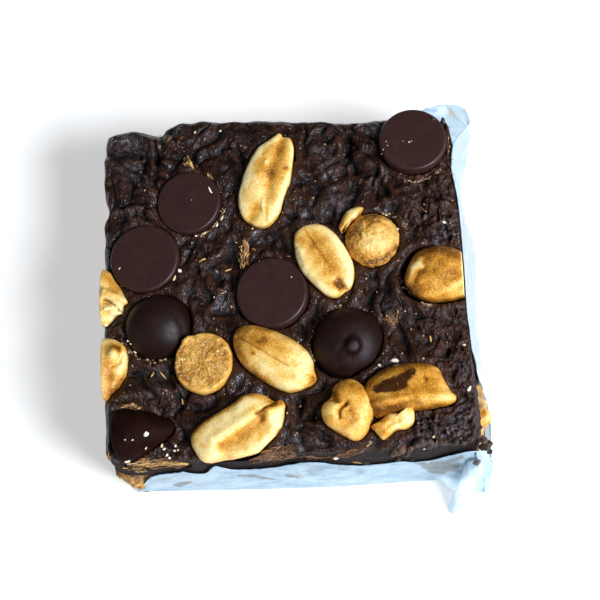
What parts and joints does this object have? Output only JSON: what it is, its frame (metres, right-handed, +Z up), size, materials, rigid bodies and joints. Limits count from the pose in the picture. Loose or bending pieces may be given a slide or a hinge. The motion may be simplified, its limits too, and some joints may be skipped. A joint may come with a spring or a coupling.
{
  "type": "chocolate peanut brownie",
  "caption": "Square of fudgy chocolate brownie on a chopped peanut base, topped with chocolate chips, peanut butter chips and peanuts, standing in a crumpled paper wrapper.",
  "frame": {"origin": "on the surface the brownie stands on, under the middle of its top", "axes": "+Z up, +X to the right side, -Y to the front, where the long wall of the wrapper stands"},
  "size_m": [0.0635, 0.0658, 0.026],
  "materials": {
    "chocolate": "satin dark chocolate",
    "fudge": "wrinkled, partly glossy fudge",
    "nut_base": "rough, crumbly chopped nuts",
    "peanut": "roasted, slightly oily",
    "peanut_butter_chip": "rough, grainy",
    "paper": "crumpled, half clear greaseproof paper"
  },
  "bodies": {
    "root": {"chip_flat_1": "chocolate", "chip_flat_2": "chocolate", "chip_flat_3": "chocolate", "chip_flat_4": "chocolate", "chip_tip_1": "chocolate", "chip_tip_2": "chocolate", "chip_tip_3": "chocolate", "peanut_butter_chip_1": "peanut_butter_chip", "peanut_butter_chip_2": "peanut_butter_chip", "peanut_half_back": "peanut", "peanut_half_middle": "peanut", "peanut_whole": "peanut", "peanut_half_front": "peanut", "peanut_curled": "peanut", "peanut_glazed": "peanut", "peanut_crescent": "peanut", "peanut_sliver": "peanut", "peanut_cut_right": "peanut", "peanut_cut_left_back": "peanut", "peanut_cut_left_front": "peanut", "peanut_cut_front": "peanut", "peanut_side_chunk": "peanut", "fudge_layer": "fudge", "nut_base_layer": "nut_base", "paper_wrapper": "paper"}
  },
  "joints": []
}
